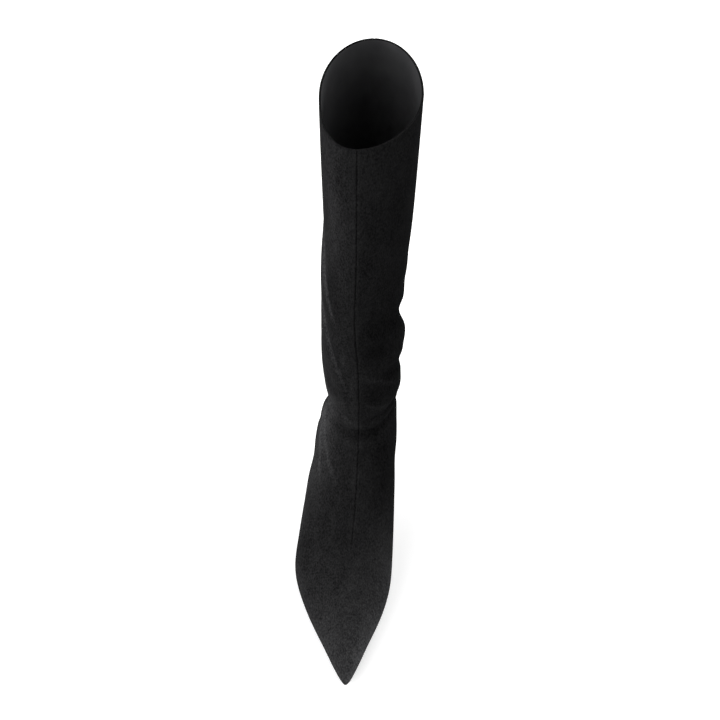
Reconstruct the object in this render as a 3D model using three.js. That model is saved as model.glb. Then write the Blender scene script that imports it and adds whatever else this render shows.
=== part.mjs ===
// Pointed tall boot for the right foot, on a covered block heel.
// Millimetres. The toe points to -Y, the inner side of the foot to +X, and Z is up.
// The origin is the middle of the heel's top lift, on the floor.

import * as THREE from "three";

// Sizes of the last
const LAST_LENGTH = 266;
const BALL_WIDTH = 84;
const HEEL_WIDTH = 66;
const HEEL_HEIGHT = 60;
const INSTEP_RISE = 72;
const TOE_SPRING = 5;

// Sizes of the shaft
const SHAFT_RISE = 315;
const ANKLE_DEPTH = 92;
const ANKLE_WIDTH = 62;
const CALF_DEPTH = 146;
const CALF_WIDTH = 80;

// Thicknesses and clearances
const WALL = 1.8;
const SOLE_THICKNESS = 3;
const INSOLE_THICKNESS = 2.5;
const TOP_LIFT_THICKNESS = 6;
const CLEARANCE = 0.3;
const SOLE_INSET = 0.4;
const INSOLE_TOE_ROOM = 6;

// Sizes of the heel block
const LIFT_WIDTH = 35;
const LIFT_DEPTH = 32;
const HEEL_TOP_WIDTH = 57;
const HEEL_TOP_DEPTH = 44;
const HEEL_BACK_INSET = 8;
const HEEL_TOP_INSET = 4;

// Shape of the heel block: how late it flares, and how square its breast and its back are (0 is square,
// 1 is round)
const HEEL_FLARE = 2.2;
const BREAST_ROUNDNESS = 0.35;
const BACK_ROUNDNESS = 0.9;
const HEEL_CLIMBS = [0, 0.15, 0.3, 0.45, 0.6, 0.72, 0.84, 0.92, 1];

// Seam groove down the front
const SEAM_DEPTH = 0.5;
const SEAM_HALF_WIDTH = 1.4;
const SEAM_END_SHARE = 0.62;

// Shares of the last's length where the arch comes down to the tread, and where the toe spring starts
const TREAD_START_SHARE = 0.6;
const TREAD_END_SHARE = 0.7;

// Share of the last's length, back from the tip, where the rows draw together to round the toe
const TOE_REACH_SHARE = 0.25;

// Numbers of faces: columns on each side of the front seam, columns across a sole, spokes round the heel
const SIDE_COLUMNS = 18;
const PLATE_COLUMNS = 4;
const HEEL_SPOKES = 32;

// Open value of a section that is closed at the back, and the most that a feather edge opens
const CLOSED = -0.2;
const WIDEST_OPEN = 0.999;

// Belly and squareness of an oval section
const OVAL_BELLY = 0.5;
const OVAL_SQUARENESS = 2;

// Lengths under this count as none
const TINY = 1e-6;

// Levels and places that follow from the sizes
const SEAT_LEVEL = HEEL_HEIGHT + SOLE_THICKNESS + CLEARANCE;
const BEND_LEVEL = HEEL_HEIGHT + INSTEP_RISE;
const HEEL_SET = HEEL_BACK_INSET + LIFT_DEPTH / 2;
const HALF_GIRTH = (Math.PI / 4) * (ANKLE_WIDTH + ANKLE_DEPTH);

// Turns a header and its rows into records
function table(names, ...rows) {
  return rows.map((row) => Object.fromEntries(names.map((name, i) => [name, row[i]])));
}

// Sections of the foot, from the toe to the heel seat. Each plane runs from the sole line to the ridge.
// sole, ridge: shares of LAST_LENGTH from the heel's back. lift, rise: shares of HEEL_HEIGHT and
// INSTEP_RISE that make the ridge's level. lateral, medial, crest: widest points and ridge, shares of
// BALL_WIDTH from the middle of the heel. open: feather edge over the widest half width. belly: share of
// the way to the ridge where it is widest. low, top: how square the section is under and over the belly.
// steps: rows of faces up to the next section.
const FOOT_SECTIONS = table(
  ["sole", "ridge", "lift", "rise", "lateral", "medial", "crest", "open", "belly", "low", "top", "steps"],
  [1.0, 1.0, 0.0, 0.115, -0.07, -0.07, -0.07, 0.8, 0.4, 2.0, 2.0, 2],
  [0.985, 0.985, 0.0, 0.225, -0.125, -0.01, -0.07, 0.8, 0.4, 2.0, 2.0, 1],
  [0.955, 0.955, 0.0, 0.3, -0.18, 0.036, -0.07, 0.82, 0.38, 2.0, 2.0, 1],
  [0.902, 0.902, 0.0, 0.385, -0.255, 0.098, -0.068, 0.85, 0.36, 2.0, 1.9, 2],
  [0.835, 0.835, 0.0, 0.47, -0.348, 0.172, -0.064, 0.88, 0.33, 2.0, 1.8, 2],
  [0.752, 0.752, 0.0, 0.57, -0.462, 0.266, -0.058, 0.9, 0.3, 2.0, 1.8, 2],
  [0.677, 0.68, 0.0, 0.68, -0.548, 0.33, -0.05, 0.92, 0.28, 2.0, 1.8, 2],
  [0.61, 0.622, 0.0, 0.785, -0.608, 0.364, -0.042, 0.93, 0.27, 2.0, 1.8, 2],
  [0.545, 0.566, 0.03, 0.9, -0.632, 0.376, -0.03, 0.92, 0.27, 2.0, 1.8, 2],
  [0.475, 0.516, 0.12, 0.99, -0.612, 0.382, -0.014, 0.9, 0.28, 2.0, 1.8, 2],
  [0.4, 0.472, 0.28, 1.03, -0.58, 0.386, -0.004, 0.88, 0.295, 2.05, 1.9, 2],
  [0.325, 0.436, 0.48, 1.04, -0.545, 0.388, 0.004, 0.88, 0.31, 2.12, 2.0, 2],
  [0.25, 0.408, 0.69, 1.02, -0.51, 0.388, 0.01, 0.89, 0.32, 2.2, 2.08, 2],
  [0.18, 0.388, 0.88, 0.99, -0.468, 0.388, 0.014, 0.9, 0.325, 2.3, 2.15, 2],
);

// Sections that fan round the heel, from the seat up to the ankle.
// back, front: shares of LAST_LENGTH. backRise: share of INSTEP_RISE above the seat. frontRise: share of
// INSTEP_RISE above HEEL_HEIGHT. half, middle, crest: shares of HEEL_WIDTH. A section is closed at the
// back where open isn't above 0.
const HEEL_SECTIONS = table(
  ["back", "backRise", "front", "frontRise", "half", "middle", "crest", "open", "belly", "low", "top",
    "steps"],
  [0.113, 0, 0.377, 0.965, 0.545, -0.036, 0.018, 0.88, 0.33, 2.38, 2.2, 1],
  [0.056, 0, 0.37, 1.015, 0.536, -0.026, 0.018, 0.72, 0.335, 2.45, 2.2, 1],
  [0.022, 0, 0.366, 1.06, 0.526, -0.017, 0.018, 0.41, 0.34, 2.48, 2.2, 1],
  [0.01, 0, 0.364, 1.1, 0.518, -0.011, 0.018, 0.0, 0.35, 2.48, 2.2, 1],
  [0.003, 0.11, 0.362, 1.16, 0.508, -0.003, 0.018, CLOSED, 0.37, 2.45, 2.18, 2],
  [0.0, 0.3, 0.362, 1.24, 0.49, 0.013, 0.02, CLOSED, 0.41, 2.35, 2.1, 2],
  [0.006, 0.56, 0.362, 1.34, 0.47, 0.036, 0.022, CLOSED, 0.46, 2.2, 2.0, 2],
  [0.018, 0.85, 0.363, 1.46, 0.472, 0.042, 0.024, CLOSED, 0.48, 2.0, 2.0, 3],
);

// Level sections of the shaft, from the ankle to the collar.
// level: share of SHAFT_RISE above the bend. front: share of LAST_LENGTH. depth, width: shares of the way
// from the ankle's size to the calf's. middle, crest, tail: shares of CALF_WIDTH from the heel's middle.
const SHAFT_SECTIONS = table(
  ["level", "front", "depth", "width", "middle", "crest", "tail", "steps"],
  [0.13, 0.366, 0.03, 0.3, 0.036, 0.016, 0.03, 4],
  [0.22, 0.372, 0.12, 0.42, 0.038, 0.012, 0.04, 5],
  [0.33, 0.382, 0.26, 0.38, 0.045, -0.01, 0.05, 5],
  [0.45, 0.395, 0.44, 0.41, 0.043, -0.022, 0.06, 4],
  [0.58, 0.41, 0.64, 0.48, 0.084, -0.008, 0.08, 3],
  [0.7, 0.42, 0.8, 0.63, 0.101, 0.0, 0.1, 2],
  [0.85, 0.428, 0.93, 0.83, 0.11, 0.004, 0.12, 2],
  [1.0, 0.432, 1.0, 1.0, 0.12, 0.006, 0.13, 1],
);

// Slack folds of the shaft and ankle, each a soft trough, or a ridge where depth is below 0.
// Turns run from -1 at the back over the outer side, 0 at the front, to 1 at the back over the inner side.
// Levels are shares of SHAFT_RISE above the bend. sag lifts the middle of the fold's line.
// depth and width are shares of ANKLE_WIDTH.
const FOLDS = table(
  ["fromTurn", "fromLevel", "toTurn", "toLevel", "sag", "depth", "width"],
  [-0.6, 0.002, 0.6, -0.006, 0.004, 0.036, 0.09],
  [-0.86, -0.12, -0.34, 0.016, 0.012, 0.04, 0.11],
  [0.34, 0.012, 0.82, -0.1, 0.012, 0.026, 0.1],
  [-0.52, 0.02, 0.54, 0.018, 0.006, -0.02, 0.1],
  [-0.5, 0.03, -0.02, 0.058, 0.006, 0.024, 0.085],
  [0.02, 0.04, 0.52, 0.05, 0.0, 0.024, 0.085],
  [-0.5, 0.075, 0.76, 0.06, 0.012, -0.03, 0.14],
  [0.08, 0.17, 0.78, -0.01, 0.09, 0.04, 0.1],
  [0.24, 0.27, 0.84, 0.16, 0.03, -0.022, 0.16],
  [0.0, 0.375, 0.8, 0.13, 0.105, 0.07, 0.135],
  [0.26, 0.5, 0.86, 0.4, 0.02, -0.016, 0.18],
  [-0.5, 0.44, -0.03, 0.13, 0.0, 0.036, 0.1],
  [-0.5, 0.35, -0.05, 0.09, 0.0, -0.022, 0.11],
  [-0.54, 0.68, -0.14, 0.4, 0.0, 0.018, 0.09],
  [-0.56, 0.62, -0.18, 0.35, 0.0, -0.014, 0.1],
);
const FOLD_FADE = 0.3;

// Height of the upper's feather edge above the floor, at a share of the last's length
function featherLevel(share) {
  const down = THREE.MathUtils.clamp(share / TREAD_START_SHARE, 0, 1);
  const spring = Math.max((share - TREAD_END_SHARE) / (1 - TREAD_END_SHARE), 0);
  const arch = 1 - (3 * down ** 2 - 2 * down ** 3);
  return SOLE_THICKNESS + CLEARANCE + HEEL_HEIGHT * arch + TOE_SPRING * spring ** 2;
}

// Puts the three tables into one list of sections in millimetres. The first one is a point, the toe's tip.
function sectionsInMillimetres() {
  const foot = FOOT_SECTIONS.map((row) => ({
    backF: row.sole * LAST_LENGTH,
    backZ: featherLevel(row.sole),
    frontF: row.ridge * LAST_LENGTH,
    frontRise: row.lift * HEEL_HEIGHT + row.rise * INSTEP_RISE - featherLevel(row.sole),
    middle: 0.5 * (row.lateral + row.medial) * BALL_WIDTH,
    half: 0.5 * (row.medial - row.lateral) * BALL_WIDTH,
    crest: row.crest * BALL_WIDTH,
    tail: 0.5 * (row.lateral + row.medial) * BALL_WIDTH,
    edge: 0.5 * row.open * (row.medial - row.lateral) * BALL_WIDTH,
    belly: row.belly,
    low: row.low,
    top: row.top,
    steps: row.steps,
  }));
  foot[0].frontRise = 0;
  const heel = HEEL_SECTIONS.map((row) => {
    const backZ = row.open < 0 ? SEAT_LEVEL + row.backRise * INSTEP_RISE : featherLevel(row.back);
    return {
      backF: row.back * LAST_LENGTH,
      backZ,
      frontF: row.front * LAST_LENGTH,
      frontRise: HEEL_HEIGHT + row.frontRise * INSTEP_RISE - backZ,
      middle: row.middle * HEEL_WIDTH,
      half: row.half * HEEL_WIDTH,
      crest: row.crest * HEEL_WIDTH,
      tail: row.middle * HEEL_WIDTH,
      edge: row.open * row.half * HEEL_WIDTH,
      belly: row.belly,
      low: row.low,
      top: row.top,
      steps: row.steps,
    };
  });
  const shaft = SHAFT_SECTIONS.map((row) => {
    const depth = THREE.MathUtils.lerp(ANKLE_DEPTH, CALF_DEPTH, row.depth);
    const width = THREE.MathUtils.lerp(ANKLE_WIDTH, CALF_WIDTH, row.width);
    return {
      backF: row.front * LAST_LENGTH - depth,
      backZ: BEND_LEVEL + row.level * SHAFT_RISE,
      frontF: row.front * LAST_LENGTH,
      frontRise: 0,
      middle: row.middle * CALF_WIDTH,
      half: width / 2,
      crest: row.crest * CALF_WIDTH,
      tail: row.tail * CALF_WIDTH,
      edge: (CLOSED * width) / 2,
      belly: OVAL_BELLY,
      low: OVAL_SQUARENESS,
      top: OVAL_SQUARENESS,
      steps: row.steps,
    };
  });
  return [...foot, ...heel, ...shaft];
}

// Travel along the sections. It grows as the root of the distance from the tip, so that the toe is round.
function travelOf(sections) {
  const toeReach = TOE_REACH_SHARE * LAST_LENGTH;
  const travel = [0];
  let distance = 0;
  for (let i = 1; i < sections.length; i += 1) {
    const [a, b] = [sections[i - 1], sections[i]];
    const back = Math.hypot(b.backF - a.backF, b.backZ - a.backZ);
    const front = Math.hypot(b.frontF - a.frontF, b.backZ + b.frontRise - a.backZ - a.frontRise);
    const next = distance + 0.5 * (back + front);
    const inToe = Math.sqrt(Math.min(next, toeReach)) - Math.sqrt(Math.min(distance, toeReach));
    const beyond = Math.max(next - toeReach, 0) - Math.max(distance - toeReach, 0);
    travel.push(travel[i - 1] + inToe + beyond / (2 * Math.sqrt(toeReach)));
    distance = next;
  }
  return travel;
}

// Smooth curve through the values, with curvature in step at each one. It starts level where level is set.
function smoothCurve(knots, values, level) {
  const count = knots.length;
  const gap = knots.slice(1).map((knot, i) => knot - knots[i]);
  const slope = gap.map((width, i) => (values[i + 1] - values[i]) / width);
  const diagonal = new Array(count).fill(1);
  const upper = new Array(count).fill(0);
  const right = new Array(count).fill(0);
  if (level) {
    diagonal[0] = 2 * gap[0];
    upper[0] = gap[0];
    right[0] = 6 * slope[0];
  }
  for (let i = 1; i < count; i += 1) {
    const last = i === count - 1;
    const lower = last ? 0 : gap[i - 1];
    const share = lower / diagonal[i - 1];
    diagonal[i] = (last ? 1 : 2 * (gap[i - 1] + gap[i])) - share * upper[i - 1];
    upper[i] = last ? 0 : gap[i];
    right[i] = (last ? 0 : 6 * (slope[i] - slope[i - 1])) - share * right[i - 1];
  }
  const bend = new Array(count).fill(0);
  for (let i = count - 1; i >= 0; i -= 1) {
    bend[i] = (right[i] - upper[i] * (bend[i + 1] ?? 0)) / diagonal[i];
  }
  return (i, t) => {
    const [a, b] = [1 - t, t];
    const sway = ((a ** 3 - a) * bend[i] + (b ** 3 - b) * bend[i + 1]) * (gap[i] ** 2 / 6);
    return a * values[i] + b * values[i + 1] + sway;
  };
}

// Every row of the upper, between the sections too
function rowsOfUpper() {
  const sections = sectionsInMillimetres();
  const travel = travelOf(sections);
  const growing = ["half", "edge", "frontRise"];
  const names = Object.keys(sections[0]).filter((name) => name !== "steps");
  const curves = names.map((name) =>
    smoothCurve(travel, sections.map((section) => section[name]), !growing.includes(name)),
  );
  const rows = [];
  for (let i = 0; i < sections.length - 1; i += 1) {
    const steps = sections[i].steps;
    for (let step = 0; step < steps; step += 1) {
      rows.push(Object.fromEntries(names.map((name, k) => [name, curves[k](i, step / steps)])));
    }
  }
  rows.push({ ...sections.at(-1) });
  rows.forEach((row) => {
    row.edge = row.edge > TINY ? row.edge : 0;
  });
  return rows;
}

// Point of a section. side runs from -1 at the outer edge, over the ridge at 0, to 1 at the inner edge.
function sectionPoint(row, side) {
  const away = Math.abs(side);
  const under = away >= 0.5;
  const turn = (under ? (1 - away) * 2 : (0.5 - away) * 2) * (Math.PI / 2);
  const share = under ? 1 - Math.cos(turn) : Math.sin(turn);
  const edge = Math.min(row.edge, row.half * WIDEST_OPEN) ** 2;
  const spread = under
    ? Math.sqrt(edge + (row.half ** 2 - edge) * (1 - (1 - share) ** row.low))
    : row.half * Math.sqrt(Math.max(1 - share ** row.top, 0));
  const climb = under ? row.belly * share : row.belly + (1 - row.belly) * share;
  const middle = under
    ? row.middle + (row.tail - row.middle) * (1 - share) ** 2
    : row.middle + (row.crest - row.middle) * share ** 2;
  const forward = row.backF + (row.frontF - row.backF) * climb;
  return new THREE.Vector3(
    middle + Math.sign(side) * spread,
    HEEL_SET - forward,
    row.backZ + row.frontRise * climb,
  );
}

// How far the folds sink the upper at a turn and a height
function foldDepth(turn, height) {
  const level = height - BEND_LEVEL;
  return FOLDS.reduce((total, fold) => {
    const along = (turn - fold.fromTurn) / (fold.toTurn - fold.fromTurn);
    if (along <= 0 || along >= 1) return total;
    const run = (fold.toTurn - fold.fromTurn) * HALF_GIRTH;
    const climb = (fold.toLevel - fold.fromLevel) * SHAFT_RISE;
    const bow = fold.sag * SHAFT_RISE * 4 * along * (1 - along);
    const line = fold.fromLevel * SHAFT_RISE + climb * along + bow;
    const across = ((level - line) * run) / Math.hypot(run, climb);
    const fadeIn = THREE.MathUtils.smoothstep(along, 0, FOLD_FADE);
    const fadeOut = THREE.MathUtils.smoothstep(1 - along, 0, FOLD_FADE);
    const hollow = Math.exp(-((across / (fold.width * ANKLE_WIDTH)) ** 2));
    return total + fold.depth * ANKLE_WIDTH * fadeIn * fadeOut * hollow;
  }, 0);
}

// Sides of the columns, with two close to the front for the seam
function columnSides() {
  const seam = SEAM_HALF_WIDTH / HALF_GIRTH;
  const right = [seam];
  for (let i = 1; i <= SIDE_COLUMNS; i += 1) right.push(i / SIDE_COLUMNS);
  return [...right.map((side) => -side).reverse(), 0, ...right];
}

// Adds up a solid's corners and faces, and leaves out faces with no area
class Solid {
  constructor() {
    this.corners = [];
    this.faces = [];
  }

  corner(point) {
    this.corners.push(point);
    return this.corners.length - 1;
  }

  face(a, b, c) {
    if (a !== b && b !== c && c !== a) this.faces.push(a, b, c);
  }

  quad(a, b, c, d) {
    this.face(a, b, c);
    this.face(a, c, d);
  }

  geometry() {
    const geometry = new THREE.BufferGeometry();
    geometry.setFromPoints(this.corners);
    geometry.setIndex(this.faces);
    geometry.computeVertexNormals();
    return geometry;
  }
}

// Corner numbers of the skin: one at the toe's tip, and one at the back where a row is closed
function skinNumbers(solid, rows, sides, pointAt) {
  return rows.map((row, i) => {
    if (i === 0) return sides.map(() => 0);
    const closed = row.edge === 0;
    const numbers = [];
    sides.forEach((side, j) => {
      const again = closed && j === sides.length - 1;
      numbers.push(again ? numbers[0] : solid.corner(pointAt(i, j)));
    });
    return numbers;
  });
}

// Vertex normals of a skin
function skinNormals(solid) {
  const normal = solid.geometry().getAttribute("normal");
  return solid.corners.map((corner, i) => new THREE.Vector3().fromBufferAttribute(normal, i));
}

// Faces between the rows of a skin
function coverSkin(solid, numbers, inward) {
  for (let i = 0; i < numbers.length - 1; i += 1) {
    for (let j = 0; j < numbers[i].length - 1; j += 1) {
      const [a, b] = [numbers[i][j], numbers[i][j + 1]];
      const [c, d] = [numbers[i + 1][j + 1], numbers[i + 1][j]];
      if (inward) solid.quad(b, a, d, c);
      else solid.quad(b, c, d, a);
    }
  }
}

// Outline of the feather edge, seen from above and moved outwards by the margin
function featherOutline(rows, margin) {
  const open = rows.slice(0, rows.findIndex((row, i) => i > 0 && row.edge === 0) + 1);
  const side = (sign) => open.map((row) => new THREE.Vector2(row.middle + sign * row.edge, row.backF));
  const [outer, inner] = [side(-1), side(1)];
  const loop = [...outer, ...inner.slice(1, -1).reverse()];
  const moved = loop.map((point, i) => {
    const along = loop[(i + 1) % loop.length].clone().sub(loop.at(i - 1)).normalize();
    return new THREE.Vector2(point.x + along.y * margin, point.y - along.x * margin);
  });
  const back = open.length - 1;
  return open.map((row, i) => ({
    outer: moved[i],
    inner: i === 0 || i === back ? moved[i] : moved[loop.length - i],
  }));
}

// The upper: foot and shaft in one skin with a wall, open at the collar and underneath
function upperGeometry(rows) {
  const sides = columnSides();
  const seam = (sides.length - 1) / 2;
  const base = new Solid();
  base.corner(sectionPoint(rows[0], 0));
  const numbers = skinNumbers(base, rows, sides, (i, j) => sectionPoint(rows[i], sides[j]));
  coverSkin(base, numbers, false);
  const normals = skinNormals(base);

  const outer = new Solid();
  outer.corners = base.corners.map((corner) => corner.clone());
  rows.forEach((row, i) => {
    sides.forEach((side, j) => {
      if (i === 0 || (row.edge === 0 && j === sides.length - 1)) return;
      const onEdge = j === 0 || j === sides.length - 1;
      if (row.edge > 0 && onEdge) return;
      const number = numbers[i][j];
      const corner = outer.corners[number];
      const seamHere = j === seam && row.frontF < SEAM_END_SHARE * LAST_LENGTH;
      const depth = foldDepth(side, corner.z) + (seamHere ? SEAM_DEPTH : 0);
      corner.addScaledVector(normals[number], -depth);
    });
  });
  coverSkin(outer, numbers, false);
  const outerNormals = skinNormals(outer);

  const solid = new Solid();
  solid.corners = outer.corners.map((corner) => corner.clone());
  const edges = featherOutline(rows, -WALL);
  const innerPoint = (i, j) => {
    const atEdge = i < edges.length && (j === 0 || j === sides.length - 1);
    if (!atEdge) {
      const number = numbers[i][j];
      return outer.corners[number].clone().addScaledVector(outerNormals[number], -WALL);
    }
    const edge = j === 0 ? edges[i].outer : edges[i].inner;
    return new THREE.Vector3(edge.x, HEEL_SET - edge.y, featherLevel(edge.y / LAST_LENGTH));
  };
  const innerTip = solid.corner(innerPoint(0, 0));
  const inner = skinNumbers(solid, rows, sides, innerPoint);
  inner[0] = sides.map(() => innerTip);
  coverSkin(solid, numbers, false);
  coverSkin(solid, inner, true);

  const last = sides.length - 1;
  for (let i = 0; i < edges.length - 1; i += 1) {
    solid.quad(numbers[i][0], numbers[i + 1][0], inner[i + 1][0], inner[i][0]);
    solid.quad(numbers[i + 1][last], numbers[i][last], inner[i][last], inner[i + 1][last]);
  }
  const collar = rows.length - 1;
  for (let j = 0; j < last; j += 1) {
    solid.quad(numbers[collar][j], numbers[collar][j + 1], inner[collar][j + 1], inner[collar][j]);
  }
  return solid.geometry();
}

// A plate under or in the foot, on the feather outline, between two levels over its length
function plateGeometry(outline, topLevel, bottomLevel) {
  const columns = PLATE_COLUMNS;
  const solid = new Solid();
  const layer = (levelAt) =>
    outline.map(({ outer, inner }) => {
      const numbers = [];
      for (let j = 0; j <= columns; j += 1) {
        const point = outer.clone().lerp(inner, j / columns);
        const shared = outer.distanceTo(inner) < TINY && j > 0;
        const corner = new THREE.Vector3(point.x, HEEL_SET - point.y, levelAt(point.y / LAST_LENGTH));
        numbers.push(shared ? numbers[0] : solid.corner(corner));
      }
      return numbers;
    });
  const [top, bottom] = [layer(topLevel), layer(bottomLevel)];
  coverSkin(solid, top, false);
  coverSkin(solid, bottom, true);
  const end = outline.length - 1;
  for (let i = 0; i < end; i += 1) {
    solid.quad(bottom[i][0], top[i][0], top[i + 1][0], bottom[i + 1][0]);
    solid.quad(top[i][columns], bottom[i][columns], bottom[i + 1][columns], top[i + 1][columns]);
  }
  for (let j = 0; j < columns; j += 1) {
    solid.quad(top[0][j], bottom[0][j], bottom[0][j + 1], top[0][j + 1]);
    solid.quad(bottom[end][j], top[end][j], top[end][j + 1], bottom[end][j + 1]);
  }
  return solid.geometry();
}

// Levels of the outsole's top, its underside and the insole's top, at a share of the last's length
function soleTop(share) {
  return featherLevel(share) - CLEARANCE;
}

function soleUnderside(share) {
  return soleTop(share) - SOLE_THICKNESS;
}

function insoleTop(share) {
  return featherLevel(share) + INSOLE_THICKNESS;
}

// The sole is tucked in under the feather edge by its inset
function outsoleGeometry(rows) {
  return plateGeometry(featherOutline(rows, -SOLE_INSET), soleTop, soleUnderside);
}

// The insole lies inside the upper's wall, and ends short of the tip
function insoleGeometry(rows) {
  const outline = featherOutline(rows, -(WALL + CLEARANCE));
  const reach = LAST_LENGTH - INSOLE_TOE_ROOM;
  const inside = outline.filter(({ outer, inner }) => Math.max(outer.y, inner.y) < reach);
  return plateGeometry(inside, insoleTop, featherLevel);
}

// Outline of the heel block at a height: round at the back, with a nearly straight breast.
// climb runs from 0 at the top lift to 1 at the sole.
function heelOutline(climb, turn) {
  const ease = climb ** HEEL_FLARE;
  const half = 0.5 * THREE.MathUtils.lerp(LIFT_WIDTH, HEEL_TOP_WIDTH, ease);
  const back = THREE.MathUtils.lerp(HEEL_BACK_INSET, HEEL_TOP_INSET, ease);
  const deep = THREE.MathUtils.lerp(LIFT_DEPTH, HEEL_TOP_DEPTH, ease);
  const round = Math.cos(turn) > 0 ? BREAST_ROUNDNESS : BACK_ROUNDNESS;
  const across = Math.sign(Math.sin(turn)) * Math.abs(Math.sin(turn)) ** round;
  const along = Math.sign(Math.cos(turn)) * Math.abs(Math.cos(turn)) ** round;
  return new THREE.Vector2(half * across, back + (deep / 2) * (1 + along));
}

// A block on the heel's outline, between two climbs, with its corners at the given levels
function heelSolid(climbs, levelAt) {
  const spokes = HEEL_SPOKES;
  const solid = new Solid();
  const rings = climbs.map((climb, k) => {
    const ring = [];
    for (let i = 0; i < spokes; i += 1) {
      const point = heelOutline(climb, (i / spokes) * 2 * Math.PI);
      ring.push(solid.corner(new THREE.Vector3(point.x, HEEL_SET - point.y, levelAt(k, point.y))));
    }
    return ring;
  });
  rings.slice(1).forEach((ring, k) => {
    ring.forEach((number, i) => {
      const next = (i + 1) % spokes;
      solid.quad(rings[k][i], rings[k][next], ring[next], number);
    });
  });
  const cap = (k, flip) => {
    const middle = heelOutline(climbs[k], 0).add(heelOutline(climbs[k], Math.PI)).multiplyScalar(0.5);
    const centre = solid.corner(new THREE.Vector3(0, HEEL_SET - middle.y, levelAt(k, middle.y)));
    rings[k].forEach((number, i) => {
      const next = rings[k][(i + 1) % spokes];
      if (flip) solid.face(centre, next, number);
      else solid.face(centre, number, next);
    });
  };
  cap(0, true);
  cap(climbs.length - 1, false);
  return solid.geometry();
}

// The heel block, between the top lift and the sole
function heelGeometry() {
  const foot = TOP_LIFT_THICKNESS + CLEARANCE;
  return heelSolid(HEEL_CLIMBS, (k, forward) =>
    THREE.MathUtils.lerp(foot, soleUnderside(forward / LAST_LENGTH) - CLEARANCE, HEEL_CLIMBS[k]),
  );
}

// The top lift has the outline of the heel's foot
function topLiftGeometry() {
  return heelSolid([0, 0], (k) => k * TOP_LIFT_THICKNESS);
}

// Colours and gloss of the pieces
const suede = new THREE.MeshStandardMaterial({ color: 0x1b1b1c, roughness: 0.95, metalness: 0 });
const coveredHeel = new THREE.MeshStandardMaterial({ color: 0x19191a, roughness: 0.93, metalness: 0 });
const soleRubber = new THREE.MeshStandardMaterial({ color: 0x141414, roughness: 0.6, metalness: 0 });
const liftRubber = new THREE.MeshStandardMaterial({ color: 0x101010, roughness: 0.7, metalness: 0 });
const sock = new THREE.MeshStandardMaterial({ color: 0x2a2623, roughness: 0.8, metalness: 0 });

// A named piece in its own material
function piece(name, geometry, material) {
  const mesh = new THREE.Mesh(geometry, material);
  mesh.name = name;
  return mesh;
}

const rows = rowsOfUpper();
const group = new THREE.Group();
group.add(piece("upper", upperGeometry(rows), suede));
group.add(piece("outsole", outsoleGeometry(rows), soleRubber));
group.add(piece("insole", insoleGeometry(rows), sock));
group.add(piece("heel", heelGeometry(), coveredHeel));
group.add(piece("top_lift", topLiftGeometry(), liftRubber));

export default group;
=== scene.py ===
"""Looks of the pointed tall boot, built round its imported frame.

Lengths are metres on the frame's own axes: the toe points to -Y, the inner side of the right foot to +X
and Z is up. The origin is the middle of the heel's top lift, on the floor.
"""

from __future__ import annotations

import logging
import math
from dataclasses import dataclass, field
from enum import Enum
from typing import Callable, NamedTuple

import bpy
import numpy as np
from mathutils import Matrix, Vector

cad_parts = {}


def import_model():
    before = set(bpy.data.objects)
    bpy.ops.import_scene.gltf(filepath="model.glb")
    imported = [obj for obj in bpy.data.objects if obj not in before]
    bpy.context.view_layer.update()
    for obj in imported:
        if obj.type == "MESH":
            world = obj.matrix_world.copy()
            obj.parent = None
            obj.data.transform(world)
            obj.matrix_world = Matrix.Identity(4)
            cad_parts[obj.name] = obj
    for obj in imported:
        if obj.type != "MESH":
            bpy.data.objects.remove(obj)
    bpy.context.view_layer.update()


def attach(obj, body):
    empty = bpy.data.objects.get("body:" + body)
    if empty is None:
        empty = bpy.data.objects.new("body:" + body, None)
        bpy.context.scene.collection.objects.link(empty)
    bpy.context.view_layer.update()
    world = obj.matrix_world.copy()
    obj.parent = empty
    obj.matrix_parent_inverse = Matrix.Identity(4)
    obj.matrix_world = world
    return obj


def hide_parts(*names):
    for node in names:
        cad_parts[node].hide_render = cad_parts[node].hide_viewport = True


LOG = logging.getLogger("tall_boot")
Columns = dict[str, np.ndarray]
Triple = tuple[float, float, float]
Level = Callable[[np.ndarray, np.ndarray], np.ndarray]


class FootSection(NamedTuple):
    """A section of the foot, from the sole line to the ridge.

    sole and ridge are shares of the last's length from the heel's back. lift and rise are shares of the
    heel height and the instep rise. lateral, medial and crest are shares of the ball width from the
    heel's middle. open is the feather edge over the widest half width. belly is the share of the way up
    where the section is widest, and low and top say how square it is under and over that.
    """

    sole: float
    ridge: float
    lift: float
    rise: float
    lateral: float
    medial: float
    crest: float
    open: float
    belly: float
    low: float
    top: float


class HeelSection(NamedTuple):
    """A section that fans round the heel.

    back and front are shares of the last's length. back_rise is a share of the instep rise over the
    seat, and front_rise one over the heel height. half, middle and crest are shares of the heel width.
    """

    back: float
    back_rise: float
    front: float
    front_rise: float
    half: float
    middle: float
    crest: float
    open: float
    belly: float
    low: float
    top: float


class ShaftSection(NamedTuple):
    """A level section of the shaft.

    level is a share of the shaft rise over the bend, and front one of the last's length. depth and width
    are shares of the way from the ankle's size to the calf's. middle, crest and tail are shares of the
    calf width from the heel's middle.
    """

    level: float
    front: float
    depth: float
    width: float
    middle: float
    crest: float
    tail: float


class Fold(NamedTuple):
    """A soft trough of the slack suede, or a ridge where depth is below 0.

    Turns run from -1 at the back over the outer side, 0 at the front seam, to 1 at the back over the
    inner side. Levels and the sag, which bows the line up in its middle, are shares of the shaft rise
    over the bend. depth and width are shares of the ankle width.
    """

    from_turn: float
    from_level: float
    to_turn: float
    to_level: float
    sag: float
    depth: float
    width: float


# The open share of a section without a feather edge. It is below 0, so the edge's curve crosses 0 on
# the way there, and what lies under SHUT counts as closed.
CLOSED = -0.2
SHUT = 1e-8

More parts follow.
